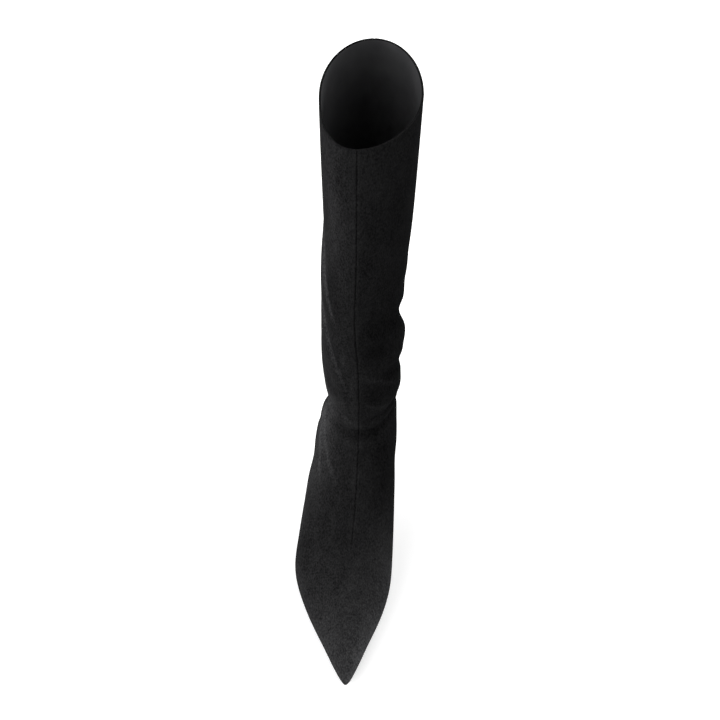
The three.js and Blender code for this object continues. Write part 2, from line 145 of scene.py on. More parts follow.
FOOT_SECTIONS = (
    FootSection(1.0, 1.0, 0.0, 0.115, -0.07, -0.07, -0.07, 0.8, 0.4, 2.0, 2.0),
    FootSection(0.985, 0.985, 0.0, 0.225, -0.125, -0.01, -0.07, 0.8, 0.4, 2.0, 2.0),
    FootSection(0.955, 0.955, 0.0, 0.3, -0.18, 0.036, -0.07, 0.82, 0.38, 2.0, 2.0),
    FootSection(0.902, 0.902, 0.0, 0.385, -0.255, 0.098, -0.068, 0.85, 0.36, 2.0, 1.9),
    FootSection(0.835, 0.835, 0.0, 0.47, -0.348, 0.172, -0.064, 0.88, 0.33, 2.0, 1.8),
    FootSection(0.752, 0.752, 0.0, 0.57, -0.462, 0.266, -0.058, 0.9, 0.3, 2.0, 1.8),
    FootSection(0.677, 0.68, 0.0, 0.68, -0.548, 0.33, -0.05, 0.92, 0.28, 2.0, 1.8),
    FootSection(0.61, 0.622, 0.0, 0.785, -0.608, 0.364, -0.042, 0.93, 0.27, 2.0, 1.8),
    FootSection(0.545, 0.566, 0.03, 0.9, -0.632, 0.376, -0.03, 0.92, 0.27, 2.0, 1.8),
    FootSection(0.475, 0.516, 0.12, 0.99, -0.612, 0.382, -0.014, 0.9, 0.28, 2.0, 1.8),
    FootSection(0.4, 0.472, 0.28, 1.03, -0.58, 0.386, -0.004, 0.88, 0.295, 2.05, 1.9),
    FootSection(0.325, 0.436, 0.48, 1.04, -0.545, 0.388, 0.004, 0.88, 0.31, 2.12, 2.0),
    FootSection(0.25, 0.408, 0.69, 1.02, -0.51, 0.388, 0.01, 0.89, 0.32, 2.2, 2.08),
    FootSection(0.18, 0.388, 0.88, 0.99, -0.468, 0.388, 0.014, 0.9, 0.325, 2.3, 2.15),
)

HEEL_SECTIONS = (
    HeelSection(0.113, 0, 0.377, 0.965, 0.545, -0.036, 0.018, 0.88, 0.33, 2.38, 2.2),
    HeelSection(0.056, 0, 0.37, 1.015, 0.536, -0.026, 0.018, 0.72, 0.335, 2.45, 2.2),
    HeelSection(0.022, 0, 0.366, 1.06, 0.526, -0.017, 0.018, 0.41, 0.34, 2.48, 2.2),
    HeelSection(0.01, 0, 0.364, 1.1, 0.518, -0.011, 0.018, 0.0, 0.35, 2.48, 2.2),
    HeelSection(0.003, 0.11, 0.362, 1.16, 0.508, -0.003, 0.018, CLOSED, 0.37, 2.45, 2.18),
    HeelSection(0.0, 0.3, 0.362, 1.24, 0.49, 0.013, 0.02, CLOSED, 0.41, 2.35, 2.1),
    HeelSection(0.006, 0.56, 0.362, 1.34, 0.47, 0.036, 0.022, CLOSED, 0.46, 2.2, 2.0),
    HeelSection(0.018, 0.85, 0.363, 1.46, 0.472, 0.042, 0.024, CLOSED, 0.48, 2.0, 2.0),
)

SHAFT_SECTIONS = (
    ShaftSection(0.13, 0.366, 0.03, 0.3, 0.036, 0.016, 0.03),
    ShaftSection(0.22, 0.372, 0.12, 0.42, 0.038, 0.012, 0.04),
    ShaftSection(0.33, 0.382, 0.26, 0.38, 0.045, -0.01, 0.05),
    ShaftSection(0.45, 0.395, 0.44, 0.41, 0.043, -0.022, 0.06),
    ShaftSection(0.58, 0.41, 0.64, 0.48, 0.084, -0.008, 0.08),
    ShaftSection(0.7, 0.42, 0.8, 0.63, 0.101, 0.0, 0.1),
    ShaftSection(0.85, 0.428, 0.93, 0.83, 0.11, 0.004, 0.12),
    ShaftSection(1.0, 0.432, 1.0, 1.0, 0.12, 0.006, 0.13),
)

# The folds that the solids have too.
MAIN_FOLDS = (
    Fold(-0.6, 0.002, 0.6, -0.006, 0.004, 0.036, 0.09),
    Fold(-0.86, -0.12, -0.34, 0.016, 0.012, 0.04, 0.11),
    Fold(0.34, 0.012, 0.82, -0.1, 0.012, 0.026, 0.1),
    Fold(-0.52, 0.02, 0.54, 0.018, 0.006, -0.02, 0.1),
    Fold(-0.5, 0.03, -0.02, 0.058, 0.006, 0.024, 0.085),
    Fold(0.02, 0.04, 0.52, 0.05, 0.0, 0.024, 0.085),
    Fold(-0.5, 0.075, 0.76, 0.06, 0.012, -0.03, 0.14),
    Fold(0.08, 0.17, 0.78, -0.01, 0.09, 0.04, 0.1),
    Fold(0.24, 0.27, 0.84, 0.16, 0.03, -0.022, 0.16),
    Fold(0.0, 0.375, 0.8, 0.13, 0.105, 0.07, 0.135),
    Fold(0.26, 0.5, 0.86, 0.4, 0.02, -0.016, 0.18),
    Fold(-0.5, 0.44, -0.03, 0.13, 0.0, 0.036, 0.1),
    Fold(-0.5, 0.35, -0.05, 0.09, 0.0, -0.022, 0.11),
    Fold(-0.54, 0.68, -0.14, 0.4, 0.0, 0.018, 0.09),
    Fold(-0.56, 0.62, -0.18, 0.35, 0.0, -0.014, 0.1),
)

# Creases under 1 mm, on the outer face only.
FINE_FOLDS = (
    Fold(-0.34, -0.012, 0.32, -0.016, -0.004, -0.012, 0.07),
    Fold(-0.34, 0.014, 0.3, 0.01, -0.004, 0.012, 0.03),
    Fold(-0.5, 0.62, -0.18, 0.38, 0.0, -0.012, 0.045),
    Fold(-0.5, 0.37, -0.09, 0.115, 0.034, -0.014, 0.05),
    Fold(-0.03, 0.225, 0.36, 0.12, 0.01, -0.006, 0.04),
    Fold(-0.41, 0.04, -0.26, -0.15, 0.0, -0.008, 0.035),
    Fold(-0.3, 0.028, 0.1, 0.03, 0.006, 0.008, 0.03),
    Fold(-0.46, 0.11, -0.1, 0.05, -0.01, 0.008, 0.04),
    Fold(0.1, 0.1, 0.5, 0.02, 0.02, 0.008, 0.035),
)


class Patch(NamedTuple):
    """A soft patch of painted light on the nap, or of painted shade where lift is below 0.

    turn and level are its place as on a fold, and across and along its reach in turn and in level. lift
    is a share of the nap's own lightness.
    """

    turn: float
    level: float
    across: float
    along: float
    lift: float


# Painted light and shade: patches of painted light on the outer side, the ankle and the toe, and a few of
# painted shade on the shaft.
PAINTED_LIGHT_AND_SHADE_PATCHES = (
    Patch(-0.62, 0.7, 0.24, 0.6, 1.3),
    Patch(-0.37, -0.02, 0.14, 0.12, 2.2),
    Patch(-0.5, -0.26, 0.1, 0.12, 1.1),
    Patch(0.05, -0.38, 0.25, 0.03, 0.9),
    Patch(0.03, -0.335, 0.07, 0.03, 0.35),
    Patch(-0.055, 0.145, 0.022, 0.06, 0.5),
    Patch(-0.115, 0.28, 0.018, 0.04, 0.45),
    Patch(-0.2, 0.8, 0.07, 0.16, 0.35),
    Patch(-0.22, 0.5, 0.1, 0.1, -0.25),
    Patch(0.12, 0.3, 0.1, 0.03, -0.3),
    Patch(0.11, 0.13, 0.08, 0.04, -0.2),
    Patch(0.6, -0.38, 0.4, 0.05, 1.2),
)

# Painted highlights along the folds' ridges, laid like folds but sinking nothing: depth is minus the lift,
# as a share of the nap's own lightness.
PAINTED_HIGHLIGHT_LINES = (
    Fold(-0.52, 0.66, -0.14, 0.37, 0.0, -1.9, 0.034),
    Fold(-0.52, 0.405, -0.05, 0.105, 0.034, -1.9, 0.036),
    Fold(-0.5, 0.1, 0.03, 0.026, 0.0, -0.8, 0.03),
    Fold(-0.56, 0.07, -0.22, -0.16, 0.0, -1.0, 0.036),
    Fold(-0.5, 0.05, -0.1, -0.14, 0.0, -0.9, 0.034),
    Fold(-0.03, 0.225, 0.36, 0.12, 0.012, -0.35, 0.03),
    Fold(0.02, 0.03, 0.5, 0.1, -0.01, -0.3, 0.034),
    Fold(0.03, 0.11, 0.3, 0.06, 0.0, -0.25, 0.03),
)

# The nap's share of light: its middle, and the part that each noise takes in it.
NAP_MIDDLE = 0.45
PATCH_PART = 0.3
MOTTLE_PART = 0.2
FIBRE_PART = 1.15
MOTTLE_HEIGHT = 0.5


class Light(NamedTuple):
    """A square soft light: its place, the length of its side and its power in watts."""

    name: str
    place: Triple
    size: float
    power: float


LIGHT_AIM = (0.0, -0.05, 0.15)
LIGHTS = (
    Light("key", (-1.3, -0.7, 1.7), 2.0, 18.0),
    Light("low", (-1.6, -0.3, 0.5), 0.9, 19.0),
    Light("front", (-0.9, -1.6, 1.0), 1.2, 11.0),
    Light("rim", (-1.2, 1.0, 1.2), 0.9, 5.0),
    Light("fill", (1.5, -0.5, 1.3), 2.0, 22.0),
    Light("back", (0.0, 1.6, 1.6), 2.2, 12.0),
    Light("inner", (1.2, 1.8, 0.5), 1.4, 50.0),
)


def smoothstep(value: np.ndarray, start: float, end: float) -> np.ndarray:
    """Soft step from 0 at start to 1 at end: 3 t squared less 2 t cubed."""
    t = np.clip((value - start) / (end - start), 0, 1)
    return t * t * (3 - 2 * t)


def smooth_curve(knots: np.ndarray, values: np.ndarray, level: bool, at: np.ndarray) -> np.ndarray:
    """Smooth curve through the values, a cubic in each gap with curvature in step at each knot.

    Args:
        knots: Travel at each section.
        values: The value at each section.
        level: Whether the curve starts level, and not straight.
        at: Travels to read the curve at.

    Returns:
        The curve's values there.
    """
    count = len(knots)
    gap = np.diff(knots)
    slope = np.diff(values) / gap
    matrix = np.zeros((count, count))
    right = np.zeros(count)
    inner = np.arange(1, count - 1)
    matrix[inner, inner - 1] = gap[:-1]
    matrix[inner, inner] = 2 * (gap[:-1] + gap[1:])
    matrix[inner, inner + 1] = gap[1:]
    right[inner] = 6 * np.diff(slope)
    matrix[0, 0] = 2 * gap[0] if level else 1
    matrix[0, 1] = gap[0] if level else 0
    right[0] = 6 * slope[0] if level else 0
    matrix[-1, -1] = 1
    bend = np.linalg.solve(matrix, right)
    i = np.clip(np.searchsorted(knots, at) - 1, 0, count - 2)
    a = (knots[i + 1] - at) / gap[i]
    b = 1 - a
    sway = ((a**3 - a) * bend[i] + (b**3 - b) * bend[i + 1]) * gap[i] ** 2 / 6
    return a * values[i] + b * values[i + 1] + sway


@dataclass(frozen=True)
class Last:
    """Driving sizes of the last, the shaft and the layers, in metres."""

    length: float = 0.266
    ball_width: float = 0.084
    heel_width: float = 0.066
    heel_height: float = 0.060
    instep_rise: float = 0.072
    toe_spring: float = 0.005
    shaft_rise: float = 0.315
    ankle_depth: float = 0.092
    ankle_width: float = 0.062
    calf_depth: float = 0.146
    calf_width: float = 0.080
    wall: float = 0.0018
    sole_thickness: float = 0.003
    insole_thickness: float = 0.0025
    clearance: float = 0.0003
    heel_set: float = 0.024
    tread_start: float = 0.6
    tread_end: float = 0.7
    toe_reach: float = 0.25

    @property
    def seat_level(self) -> float:
        """Level of the upper's feather edge at the heel."""
        return self.heel_height + self.sole_thickness + self.clearance

    @property
    def bend_level(self) -> float:
        """Level of the bend between foot and shaft."""
        return self.heel_height + self.instep_rise

    @property
    def half_girth(self) -> float:
        """Half the way round the ankle, taken as an oval."""
        return math.pi / 4 * (self.ankle_width + self.ankle_depth)

    def feather_level(self, share: np.ndarray) -> np.ndarray:
        """Height of the feather edge: the arch's soft step down to the tread, then the toe spring's square.

        Args:
            share: Shares of the last's length from the heel's back.

        Returns:
            Heights above the floor.
        """
        arch = 1 - smoothstep(share, 0, self.tread_start)
        spring = np.clip((share - self.tread_end) / (1 - self.tread_end), 0, None)
        base = self.sole_thickness + self.clearance
        return base + self.heel_height * arch + self.toe_spring * spring**2

    def sections(self) -> Columns:
        """Every section from the tip to the collar, in metres, as named columns."""
        rows = [self._foot_row(section) for section in FOOT_SECTIONS]
        rows[0]["front_rise"] = 0.0
        rows += [self._heel_row(section) for section in HEEL_SECTIONS]
        rows += [self._shaft_row(section) for section in SHAFT_SECTIONS]
        return {name: np.array([row[name] for row in rows], float) for name in rows[0]}

    def _foot_row(self, section: FootSection) -> dict[str, float]:
        """One foot section in metres."""
        floor = float(self.feather_level(np.array(section.sole)))
        middle = 0.5 * (section.lateral + section.medial) * self.ball_width
        half = 0.5 * (section.medial - section.lateral) * self.ball_width
        ridge = section.lift * self.heel_height + section.rise * self.instep_rise
        return {
            "back": section.sole * self.length,
            "back_z": floor,
            "front": section.ridge * self.length,
            "front_rise": ridge - floor,
            "middle": middle,
            "half": half,
            "crest": section.crest * self.ball_width,
            "tail": middle,
            "edge": section.open * half,
            "belly": section.belly,
            "low": section.low,
            "top": section.top,
        }

    def _heel_row(self, section: HeelSection) -> dict[str, float]:
        """One heel section in metres."""
        seat = self.seat_level + section.back_rise * self.instep_rise
        floor = seat if section.open < 0 else float(self.feather_level(np.array(section.back)))
        half = section.half * self.heel_width
        return {
            "back": section.back * self.length,
            "back_z": floor,
            "front": section.front * self.length,
            "front_rise": self.heel_height + section.front_rise * self.instep_rise - floor,
            "middle": section.middle * self.heel_width,
            "half": half,
            "crest": section.crest * self.heel_width,
            "tail": section.middle * self.heel_width,
            "edge": section.open * half,
            "belly": section.belly,
            "low": section.low,
            "top": section.top,
        }

    def _shaft_row(self, section: ShaftSection) -> dict[str, float]:
        """One shaft section in metres, an oval."""
        depth = self.ankle_depth + (self.calf_depth - self.ankle_depth) * section.depth
        half = 0.5 * (self.ankle_width + (self.calf_width - self.ankle_width) * section.width)
        return {
            "back": section.front * self.length - depth,
            "back_z": self.bend_level + section.level * self.shaft_rise,
            "front": section.front * self.length,
            "front_rise": 0.0,
            "middle": section.middle * self.calf_width,
            "half": half,
            "crest": section.crest * self.calf_width,
            "tail": section.tail * self.calf_width,
            "edge": CLOSED * half,
            "belly": 0.5,
            "low": 2.0,
            "top": 2.0,
        }

    def rows(self, pitch: float) -> Columns:
        """Rows between the sections too, about one pitch apart, on a smooth curve for each column.

        The travel along the sections grows as the root of the distance in the toe, so that it is round.

        Args:
            pitch: Wanted distance between rows.

        Returns:
            The named columns at every row.
        """
        sections = self.sections()
        back = np.hypot(np.diff(sections["back"]), np.diff(sections["back_z"]))
        ridge = sections["back_z"] + sections["front_rise"]
        front = np.hypot(np.diff(sections["front"]), np.diff(ridge))
        distance = np.concatenate([[0], np.cumsum(0.5 * (back + front))])
        reach = self.toe_reach * self.length
        beyond = np.clip(distance - reach, 0, None) / (2 * math.sqrt(reach))
        travel = np.sqrt(np.minimum(distance, reach)) + beyond
        counts = np.maximum(np.ceil(np.diff(distance) / pitch), 4).astype(int)
        spans = [
            np.linspace(travel[i], travel[i + 1], count, endpoint=False)
            for i, count in enumerate(counts)
        ]
        at = np.concatenate([*spans, travel[-1:]])
        growing = ("half", "edge", "front_rise")
        rows = {
            name: smooth_curve(travel, values, name not in growing, at)
            for name, values in sections.items()
        }
        rows["edge"] = np.where(rows["edge"] > SHUT, rows["edge"], 0)
        return rows

    def section_points(self, rows: Columns, sides: np.ndarray) -> np.ndarray:
        """Points of the sections. A section is two quarter arcs on each side of its plane.

        Under the belly the spread runs from the feather edge to the half width, and over it from there
        to the ridge, each as a root of one less a power of the climb. Away from the belly the middle
        moves to the tail and to the crest with the climb's square.

        Args:
            rows: Named columns of the rows.
            sides: For each row, sides from -1 at the outer edge, over 0 at the ridge, to 1.

        Returns:
            Points, rows by sides by 3.
        """
        row = {name: values[:, None] for name, values in rows.items()}
        away = np.abs(sides)
        under = away >= 0.5
        turn = np.where(under, 1 - away, 0.5 - away) * math.pi
        share = np.where(under, 1 - np.cos(turn), np.sin(turn))
        edge = np.minimum(row["edge"], row["half"] * 0.999) ** 2
        rise = 1 - (1 - share) ** row["low"]
        low = np.sqrt(np.clip(edge + (row["half"] ** 2 - edge) * rise, 0, None))
        top = row["half"] * np.sqrt(np.clip(1 - np.clip(share, 0, 1) ** row["top"], 0, None))
        spread = np.where(under, low, top)
        climb = np.where(under, row["belly"] * share, row["belly"] + (1 - row["belly"]) * share)
        to_tail = row["middle"] + (row["tail"] - row["middle"]) * (1 - share) ** 2
        to_crest = row["middle"] + (row["crest"] - row["middle"]) * share**2
        middle = np.where(under, to_tail, to_crest)
        forward = row["back"] + (row["front"] - row["back"]) * climb
        height = row["back_z"] + row["front_rise"] * climb
        return np.stack([middle + np.sign(sides) * spread, self.heel_set - forward, height], -1)

    def feather_outline(self, rows: Columns, margin: float) -> tuple[np.ndarray, np.ndarray]:
        """Outline of the feather edge from above, moved outwards by the margin.

        Args:
            rows: Named columns of the rows.
            margin: Way outwards, or inwards below 0.

        Returns:
            Points of the outer and the inner side, rows by 2, as sideways and forward places.
        """
        end = int(np.argmax(rows["edge"][1:] == 0)) + 2
        place = rows["back"][:end]
        outer = np.stack([rows["middle"][:end] - rows["edge"][:end], place], -1)
        inner = np.stack([rows["middle"][:end] + rows["edge"][:end], place], -1)
        loop = np.concatenate([outer, inner[1:-1][::-1]])
        along = np.roll(loop, -1, 0) - np.roll(loop, 1, 0)
        along /= np.linalg.norm(along, axis=1, keepdims=True)
        moved = loop + margin * np.stack([along[:, 1], -along[:, 0]], -1)
        back = np.concatenate([moved[:1], moved[end:][::-1], moved[end - 1 : end]])
        return moved[:end], back

    def fold_depth(self, folds: tuple[Fold, ...], turn: np.ndarray, height: np.ndarray) -> np.ndarray:
        """How far the folds sink the skin: a bell across each fold's line, faded at both its ends.

        Args:
            folds: The folds to add up.
            turn: Sides of the points.
            height: Their heights.

        Returns:
            Depths, below 0 on a ridge.
        """
        total = np.zeros(np.broadcast(turn, height).shape)
        level = height - self.bend_level
        for fold in folds:
            along = (turn - fold.from_turn) / (fold.to_turn - fold.from_turn)
            run = (fold.to_turn - fold.from_turn) * self.half_girth
            climb = (fold.to_level - fold.from_level) * self.shaft_rise
            bow = fold.sag * self.shaft_rise * 4 * along * (1 - along)
            line = fold.from_level * self.shaft_rise + climb * along + bow
            across = (level - line) * run / math.hypot(run, climb)
            fade = smoothstep(along, 0, 0.3) * smoothstep(1 - along, 0, 0.3)
            bell = np.exp(-((across / (fold.width * self.ankle_width)) ** 2))
            total += fold.depth * self.ankle_width * fade * bell
        return total


def grid_normals(points: np.ndarray, closed: np.ndarray) -> np.ndarray:
    """Unit normals of a grid: the cross of its central differences, outwards from the boot.

    Args:
        points: Grid points, rows by columns by 3.
        closed: For each row, whether its two ends are one point.

    Returns:
        Normals of the same shape.
    """
    across = np.gradient(points, axis=1)
    wrapped = points[:, 1] - points[:, -2]
    across[closed, 0] = wrapped[closed]
    across[closed, -1] = wrapped[closed]
    along = np.gradient(points, axis=0)
    normals = np.cross(across, along)
    size = np.linalg.norm(normals, axis=-1, keepdims=True)
    normals = normals / np.maximum(size, 1e-15)
    normals[0] = (0.0, -1.0, 0.0)
    return normals


class MeshParts:
    """Adds up corners and faces of one piece, and makes its mesh."""

    def __init__(self) -> None:
        """Starts with nothing."""
        self.corners: list[np.ndarray] = []
        self.faces: list[np.ndarray] = []
        self.finish: list[np.ndarray] = []
        self.count = 0

    def add(self, points: np.ndarray) -> np.ndarray:
        """Adds corners and returns their numbers, in the points' own shape."""
        flat = points.reshape(-1, 3)
        numbers = np.arange(len(flat)).reshape(points.shape[:-1]) + self.count
        self.corners.append(flat)
        self.count += len(flat)
        return numbers

    def cover(self, numbers: np.ndarray, finish: int = 0, flip: bool = False) -> None:
        """Puts two triangles in each cell of a grid of corner numbers.

        Args:
            numbers: Corner numbers, rows by columns.
            finish: Number of the material slot.
            flip: Whether the faces point the other way.
        """
        a, b = numbers[:-1, :-1], numbers[:-1, 1:]
        d, c = numbers[1:, :-1], numbers[1:, 1:]
        faces = np.concatenate(
            [np.stack([a, b, c], -1).reshape(-1, 3), np.stack([a, c, d], -1).reshape(-1, 3)]
        )
        if flip:
            faces = faces[:, ::-1]
        x, y, z = faces.T
        faces = faces[(x != y) & (y != z) & (z != x)]
        self.faces.append(faces)
        self.finish.append(np.full(len(faces), finish))

    def piece(self, name: str, materials: list[bpy.types.Material]) -> bpy.types.Object:
        """Makes the mesh object, with smooth faces.

        Args:
            name: Name of the object.
            materials: One for each finish number.

        Returns:
            The object, at the origin.
        """
        corners = np.concatenate(self.corners).astype(np.float32)
        faces = np.concatenate(self.faces).astype(np.int32)
        mesh = bpy.data.meshes.new(name)
        mesh.vertices.add(len(corners))
        mesh.vertices.foreach_set("co", corners.ravel())
        mesh.loops.add(faces.size)
        mesh.loops.foreach_set("vertex_index", faces.ravel())
        mesh.polygons.add(len(faces))
        mesh.polygons.foreach_set("loop_start", np.arange(0, faces.size, 3, dtype=np.int32))
        mesh.polygons.foreach_set("material_index", np.concatenate(self.finish).astype(np.int32))
        mesh.polygons.foreach_set("use_smooth", np.ones(len(faces), bool))
        for material in materials:
            mesh.materials.append(material)
        mesh.update(calc_edges=True)
        mesh.validate()
        return linked(name, mesh)


def linked(name: str, data: bpy.types.ID) -> bpy.types.Object:
    """Makes an object of the data and puts it in the scene."""
    item = bpy.data.objects.new(name, data)
    bpy.context.scene.collection.objects.link(item)
    return item


def aim_at(item: bpy.types.Object, place: Triple, target: Triple) -> None:
    """Puts a light or camera at its place and turns it to the target."""
    item.location = place
    look = Vector(target) - Vector(place)
    item.rotation_euler = look.to_track_quat("-Z", "Y").to_euler()


def point_attribute(item: bpy.types.Object, name: str, values: np.ndarray) -> None:
    """Keeps one number for each corner on the mesh, for the materials to read."""
    attribute = item.data.attributes.new(name, "FLOAT", "POINT")
    attribute.data.foreach_set("value", values.astype(np.float32).ravel())


class NodeWriter:
    """Short ways to add and join shader nodes."""

    def __init__(self, tree: bpy.types.NodeTree) -> None:
        """Works in one node tree."""
        self.tree = tree

    def node(self, kind: str, **settings: object) -> bpy.types.Node:
        """Adds a node and sets its properties."""
        made = self.tree.nodes.new(kind)
        for name, value in settings.items():
            setattr(made, name, value)
        return made

    def feed(self, target: bpy.types.NodeSocket, value: object) -> None:
        """Links a socket to the target, or sets the target's own value."""
        if isinstance(value, bpy.types.NodeSocket):
            self.tree.links.new(value, target)
        else:
            target.default_value = value

    def maths(self, operation: str, *values: object) -> bpy.types.NodeSocket:
        """Adds a Math node on the values and returns its result."""
        made = self.node("ShaderNodeMath", operation=operation)
        for socket, value in zip(made.inputs, values):
            self.feed(socket, value)
        return made.outputs[0]

    def noise(
        self, vector: object, scale: object, detail: float, rough: float = 0.5
    ) -> bpy.types.NodeSocket:
        """Adds a noise texture and returns its value."""
        made = self.node("ShaderNodeTexNoise")
        self.feed(made.inputs["Vector"], vector)
        self.feed(made.inputs["Scale"], scale)
        made.inputs["Detail"].default_value = detail
        made.inputs["Roughness"].default_value = rough
        return made.outputs["Fac"]

    def remap(
        self, value: object, low: float, high: float, to_low: float, to_high: float
    ) -> bpy.types.NodeSocket:
        """Adds a clamped Map Range and returns its result."""
        made = self.node("ShaderNodeMapRange")
        for socket, number in zip(made.inputs, (value, low, high, to_low, to_high)):
            self.feed(socket, number)
        return made.outputs["Result"]

    def mix_colour(self, share: object, a: object, b: object) -> bpy.types.NodeSocket:
        """Mixes two colours and returns the result."""
        made = self.node("ShaderNodeMix", data_type="RGBA")
        self.feed(made.inputs["Factor"], share)
        self.feed(made.inputs["A"], a)
        self.feed(made.inputs["B"], b)
        return made.outputs["Result"]

    def bump(self, height: object, strength: float, distance: float) -> bpy.types.NodeSocket:
        """Adds a bump node on the height and returns its normal."""
        made = self.node("ShaderNodeBump")
        self.feed_all(made, {"Strength": strength, "Distance": distance, "Height": height})
        return made.outputs["Normal"]

    def feed_all(self, target: bpy.types.Node, values: dict[str, object]) -> None:
        """Feeds a node's inputs by their names."""
        for label, value in values.items():
            self.feed(target.inputs[label], value)


def new_material(name: str) -> tuple[bpy.types.Material, NodeWriter, bpy.types.Node]:
    """Makes a material, and returns it with a writer in its nodes and its shader."""
    material = bpy.data.materials.new(name)
    material.use_nodes = True
    tree = material.node_tree
    return material, NodeWriter(tree), tree.nodes["Principled BSDF"]


def node_group(
    name: str, inputs: dict[str, tuple[str, object]], outputs: dict[str, str]
) -> tuple[NodeWriter, bpy.types.Node, bpy.types.Node]:
    """Makes an empty shader node group with named sockets.

    Args:
        name: Name of the group.
        inputs: For each input, its socket type and its start value.
        outputs: For each output, its socket type.

    Returns:
        A writer in the group, its input node and its output node.
    """
    tree = bpy.data.node_groups.new(name, "ShaderNodeTree")
    for label, (kind, start) in inputs.items():
        socket = tree.interface.new_socket(name=label, in_out="INPUT", socket_type=kind)
        if start is not None:
            socket.default_value = start
    for label, kind in outputs.items():
        tree.interface.new_socket(name=label, in_out="OUTPUT", socket_type=kind)
    writer = NodeWriter(tree)
    return writer, writer.node("NodeGroupInput"), writer.node("NodeGroupOutput")


def nap_group() -> bpy.types.NodeTree:
    """Nap of suede: random patches, a soft mottle and short fibres, as a colour and a height.

    The share of light nap is its middle plus a part of each noise plus the rub and painted light and shade
    of creases and seams, and the colour between dark and light is then scaled by one plus the painted light
    and shade of the nap.
    """
    number = "NodeSocketFloat"
    writer, given, result = node_group(
        "Nap",
        {
            "Vector": ("NodeSocketVector", None),
            "Dark": ("NodeSocketColor", (0.01, 0.01, 0.01, 1)),
            "Light": ("NodeSocketColor", (0.03, 0.03, 0.03, 1)),
            "Patch Scale": (number, 30.0),
            "Mottle Scale": (number, 150.0),
            "Fibre Scale": (number, 860.0),
            "Rub And Painted Light": (number, 0.0),
            "Brush": (number, 0.0),
        },
        {"Color": "NodeSocketColor", "Height": number},
    )
    place = given.outputs["Vector"]
    patch = writer.noise(place, given.outputs["Patch Scale"], 3.0, 0.55)
    mottle = writer.noise(place, given.outputs["Mottle Scale"], 2.0, 0.6)
    fibre = writer.noise(place, given.outputs["Fibre Scale"], 3.0, 0.65)
    patch = writer.remap(patch, 0.3, 0.7, -0.5, 0.5)
    mottle = writer.remap(mottle, 0.3, 0.7, -0.5, 0.5)
    fibre_share = writer.remap(fibre, 0.25, 0.75, -0.5, 0.5)
    share = writer.maths("MULTIPLY_ADD", patch, PATCH_PART, NAP_MIDDLE)
    share = writer.maths("MULTIPLY_ADD", mottle, MOTTLE_PART, share)
    share = writer.maths("MULTIPLY_ADD", fibre_share, FIBRE_PART, share)
    # Adds the rub and painted light and shade of creases and seams.
    share = writer.maths("ADD", share, given.outputs["Rub And Painted Light"])
    share = writer.remap(share, 0.0, 1.0, 0.0, 1.0)
    colour = writer.mix_colour(share, given.outputs["Dark"], given.outputs["Light"])
    # Scales the nap's colour by its painted light and shade.
    light_and_shade_amount = writer.maths("ADD", given.outputs["Brush"], 1.0)
    painted_light_colour = writer.node("ShaderNodeVectorMath", operation="SCALE")
    writer.feed(painted_light_colour.inputs[0], colour)
    writer.feed(painted_light_colour.inputs["Scale"], light_and_shade_amount)
    height = writer.maths("MULTIPLY_ADD", mottle, MOTTLE_HEIGHT, fibre)
    writer.feed_all(result, {"Color": painted_light_colour.outputs["Vector"], "Height": height})
    return writer.tree


def grain_group() -> bpy.types.NodeTree:
    """Fine grain of leather or rubber: small cells with a soft mottle, as a height and a mask."""
    number = "NodeSocketFloat"
    writer, given, result = node_group(
        "Fine Grain",
        {"Vector": ("NodeSocketVector", None), "Scale": (number, 900.0), "Mottle Scale": (number, 60.0)},
        {"Height": number, "Mask": number},
    )
    place = given.outputs["Vector"]
    cells = writer.node("ShaderNodeTexVoronoi", feature="SMOOTH_F1")
    writer.feed_all(cells, {"Vector": place, "Scale": given.outputs["Scale"]})
    mottle = writer.noise(place, given.outputs["Mottle Scale"], 3.0)
    mask = writer.remap(mottle, 0.3, 0.7, 0.0, 1.0)
    writer.feed_all(result, {"Height": cells.outputs["Distance"], "Mask": mask})
    return writer.tree


@dataclass(frozen=True)
class SuedeFinish:
    """Napped black suede: no gloss, a light bloom at the edges, random patches, and painted light and shade
    read from the piece.

    The noises are read at the object's place times across, along, and across over the fibre length. A
    smaller number draws them out, so the fibres run up the shaft and along the foot.
    """

    name: str
    dark: Triple = (0.0038, 0.0038, 0.004)
    light: Triple = (0.019, 0.0189, 0.0194)
    sheen: float = 0.01
    nap_height: float = 0.00032
    across: float = 1.1
    along: float = 0.68
    fibre_length: float = 2.0

    def material(self, nap: bpy.types.NodeTree) -> bpy.types.Material:
        """Makes the material.

        Args:
            nap: The nap group.

        Returns:
            The material.
        """
        material, writer, shader = new_material(self.name)
        stretched = writer.node("ShaderNodeMapping")
        writer.feed(stretched.inputs["Vector"], writer.node("ShaderNodeTexCoord").outputs["Object"])
        scale = (self.across, self.along, self.across / self.fibre_length)
        stretched.inputs["Scale"].default_value = scale
        # Rub and painted light and shade of creases and seams, from the piece.
        rub_and_painted_light = writer.node("ShaderNodeAttribute", attribute_name="rub_and_painted_light").outputs["Fac"]
        # Painted light and shade of the nap, from the piece.
        painted_light_and_shade = writer.node("ShaderNodeAttribute", attribute_name="painted_light_and_shade").outputs["Fac"]
        pile = writer.node("ShaderNodeGroup", node_tree=nap)
        writer.feed_all(
            pile,
            {
                "Vector": stretched.outputs["Vector"],
                "Dark": (*self.dark, 1),
                "Light": (*self.light, 1),
                "Rub And Painted Light": rub_and_painted_light,
                "Brush": painted_light_and_shade,
            },
        )
        writer.feed_all(
            shader,
            {
                "Base Color": pile.outputs["Color"],
                "Normal": writer.bump(pile.outputs["Height"], 0.8, self.nap_height),
                "Roughness": 0.95,
                "Specular IOR Level": 0.0,
                "Sheen Weight": self.sheen,
                "Sheen Roughness": 0.35,
                "Sheen Tint": (0.8, 0.82, 0.86, 1),
            },
        )
        return material


